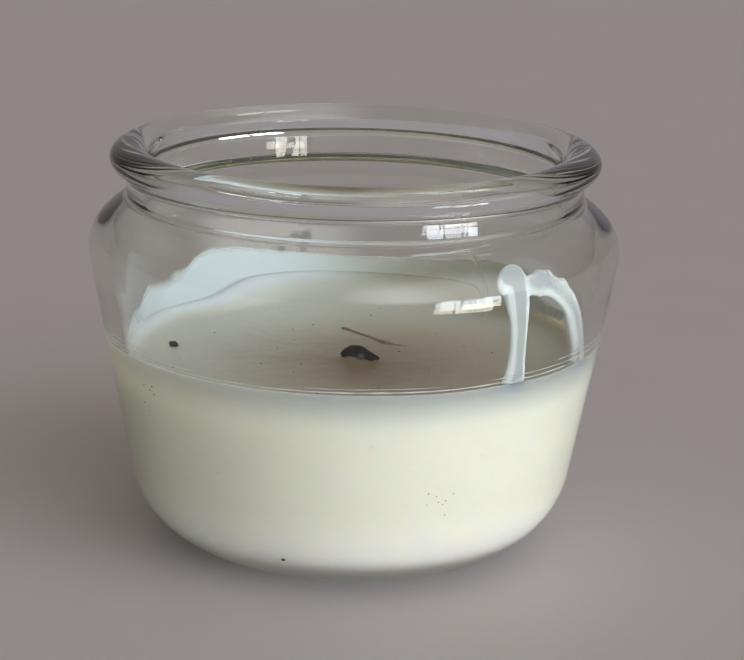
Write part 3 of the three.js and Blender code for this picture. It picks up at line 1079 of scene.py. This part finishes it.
def make_tab(material):
    """Pressed disc with a rolled edge, a stiffening bead and a neck crimped on the wick."""
    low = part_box("wick_tab")[0].z / MM
    bore, wall = WICK_RADIUS + 0.2, 0.3
    neck_top = low + 6.3
    crimp_foot = low + 3.0
    upper = [
        (bore, neck_top), (bore + wall, neck_top), (bore + wall, low + 1.0), (bore + wall + 0.5, low + 0.35),
        (4.5, low + wall), (5.0, low + 0.55), (5.6, low + 0.55), (6.1, low + wall),
        (TAB_RADIUS - 0.5, low + wall), (TAB_RADIUS, low + wall / 2),
    ]
    lower = [
        (TAB_RADIUS - 0.5, low), (6.1, low), (5.6, low + 0.25), (5.0, low + 0.25), (4.5, low),
        (bore + wall + 0.3, low + 0.02), (bore, low + 0.5), (bore, neck_top),
    ]
    profile = upper + lower

    def crimped(r, z, angle, _index):
        if r < bore + wall + 0.05 and z > crimp_foot:
            share = (z - crimp_foot) / (neck_top - crimp_foot)
            squeeze = 0.12 * math.cos(4 * angle) * math.sin(math.pi * share)
            return r - abs(squeeze) * 0.6 + squeeze * 0.4, z
        return r, z

    mesh = turned("tab_disc", profile, round_angles(SMALL_ROUND_STEPS), crimped)
    outward_faces(mesh, 1e-7)
    return new_piece("tab_disc", mesh, "wick_tab", [material])


def make_sticker(material):
    low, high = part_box("wick_sticker")
    bottom, top, radius = low.z / MM, high.z / MM, high.x / MM
    edge = (top - bottom) / 2
    profile = [(0.0, bottom)] + straight((0.0, bottom), (radius - 0.3, bottom), 8)
    side = radius + 0.05
    profile += bezier(profile[-1], (radius, bottom), (side, bottom + edge * 0.6), (side, bottom + edge), 5)
    profile += bezier(profile[-1], (radius, top - 0.1), (radius - 0.1, top), (radius - 0.35, top), 5)
    profile += straight(profile[-1], (0.0, top), 8)
    mesh = turned("tab_sticker", profile, round_angles(SMALL_ROUND_STEPS))
    return new_piece("tab_sticker", mesh, "wick_sticker", [material])


# ---------------------------------------------------------------- camera, floor and light

def make_camera():
    """Stands four jar widths away and looks a little down, rolled slightly."""
    width = cad_high.x - cad_low.x
    data = bpy.data.cameras.new("camera")
    camera = bpy.data.objects.new("camera", data)
    bpy.context.scene.collection.objects.link(camera)
    data.sensor_width = CAMERA_SENSOR
    data.lens = CAMERA_LENS
    data.clip_start, data.clip_end = 0.01, 20.0
    camera.location = (0.0, -CAMERA_BACK * width, CAMERA_UP * width)
    turn = Matrix.Rotation(math.radians(-CAMERA_YAW), 4, "Z")
    turn @= Matrix.Rotation(math.radians(90 - CAMERA_PITCH), 4, "X")
    turn @= Matrix.Rotation(math.radians(CAMERA_ROLL), 4, "Z")
    camera.rotation_euler = turn.to_euler()
    bpy.context.scene.camera = camera
    return camera


def make_floor(material):
    size = 3.0
    mesh = bpy.data.meshes.new("floor")
    corners = [(-size, -size, 0), (size, -size, 0), (size, size, 0), (-size, size, 0)]
    mesh.from_pydata(corners, [], [(0, 1, 2, 3)])
    floor = bpy.data.objects.new("floor", mesh)
    bpy.context.scene.collection.objects.link(floor)
    mesh.materials.append(material)
    floor.location.z = cad_low.z - 0.0002
    return floor


def make_window(name, place, aim, size, power):
    """A bright window, seen only as a reflection: a grid of lit panes with dark bars between them."""
    turn = (aim - place).to_track_quat("-Z", "Y")
    across, down = 3, 2
    bar = 0.12
    uneven = (0.7, 1.3, 1.0)
    for i in range(across):
        for j in range(down):
            data = bpy.data.lights.new(f"{name}_{i}_{j}", "AREA")
            data.shape = "RECTANGLE"
            data.size = size[0] / across * (1 - bar)
            data.size_y = size[1] / down * (1 - bar)
            data.energy = power / (across * down) * uneven[(i + 2 * j) % 3]
            data.color = WINDOW_COLOURS[j]
            pane = bpy.data.objects.new(data.name, data)
            bpy.context.scene.collection.objects.link(pane)
            offset = Vector(((i + 0.5) / across - 0.5, (j + 0.5) / down - 0.5, 0))
            pane.location = place + turn @ Vector((offset.x * size[0], offset.y * size[1], 0))
            pane.rotation_euler = turn.to_euler()
            pane.visible_camera = False
            pane.visible_diffuse = False


def direction(azimuth, elevation):
    """Unit vector. The azimuth counts from the front towards +X, both in degrees."""
    a, e = math.radians(azimuth), math.radians(elevation)
    return Vector((math.sin(a) * math.cos(e), -math.cos(a) * math.cos(e), math.sin(e)))


def glow(tree, ray, centre, narrow, wide):
    """1 within the narrow angle of a direction, 0 beyond the wide one."""
    node = tree.nodes.new("ShaderNodeVectorMath")
    node.operation = "DOT_PRODUCT"
    tree.links.new(ray, node.inputs[0])
    node.inputs[1].default_value = centre
    cosine = node.outputs["Value"]
    return smooth_range(tree, cosine, math.cos(math.radians(wide)), math.cos(math.radians(narrow)))


def make_world():
    """A soft room: a broad glow from the front right, grey behind and above, brown on both sides."""
    world = bpy.data.worlds.new("room")
    bpy.context.scene.world = world
    world.use_nodes = True
    tree = world.node_tree
    background = tree.nodes["Background"]
    ray = tree.nodes.new("ShaderNodeTexCoord").outputs["Generated"]
    up = smooth_range(tree, split_of(tree, ray)["Z"], 0.1, 0.95)
    back_grey, ceiling_grey, bright = (0.262, 0.240, 0.258), (0.245, 0.225, 0.18), (2.45, 2.45, 2.45)
    left_brown, corner_brown = (0.085, 0.078, 0.052), (0.075, 0.052, 0.038)
    shade = glow(tree, ray, direction(-80, 5), 35, 100)
    back = mix_colour(tree, shade, back_grey, left_brown)
    corner = glow(tree, ray, direction(112, 5), 10, 48)
    back = mix_colour(tree, corner, back, corner_brown)
    room = mix_colour(tree, up, back, ceiling_grey)
    key = glow(tree, ray, direction(42, 8), 8, 52)
    tree.links.new(mix_colour(tree, key, room, bright), background.inputs["Color"])
    background.inputs["Strength"].default_value = 1.22
    return world


def make_lights():
    """Two windows that show in the glass and on the pool: one high behind, one low and near at the front."""
    middle = Vector((0.0, 0.0, 0.045))
    high = middle + direction(125, 65) * 0.8
    low = direction(42, 0) * 0.127 + Vector((0.0, 0.0, 0.034))
    over_rim = Vector((0.0, 0.0, 0.074))
    make_window("high", high, middle, (0.20, 0.24), 0.65)
    make_window("low", low, over_rim, (0.055, 0.030), 0.05)


# ---------------------------------------------------------------- the scene

make_camera()
make_floor(floor_material())
make_world()
make_lights()

make_jar(glass_material())
make_wax(
    wax_side_material("wax_on_glass", 1.0, (0.39, 0.43, 0.455)),
    wax_pool_material(),
    # A paler copy of the side wax for the back of its thin top: painted light.
    wax_side_material("wax_lip_painted_lighter", 0.0, (0.62, 0.66, 0.64)),
)
make_drip(thin_wax_material("wax_drip_skin", (0.50, 0.545, 0.57), 1.2 * MM))
make_film(film_material())
make_tidemarks(thin_wax_material("wax_mark_skin", (0.70, 0.72, 0.70), 0.8 * MM))
ash_patch = (1.3, -1.7, POOL_HEIGHT + 0.3)
make_wick(char_material("burnt_cotton", (0.010, 0.009, 0.008), (0.08, 0.075, 0.07), 0.62, ash_patch))
make_crumb(char_material("char_crust", (0.015, 0.014, 0.013), (0.09, 0.08, 0.075), 0.60))
make_sliver(char_material("scorched_fibre", (0.24, 0.165, 0.115), (0.32, 0.24, 0.18), 0.45))
make_specks(char_material("soot", (0.035, 0.03, 0.026), (0.12, 0.10, 0.085), 0.55))
make_tab(steel_material())
make_sticker(adhesive_material())

bpy.context.scene.view_settings.view_transform = "Standard"
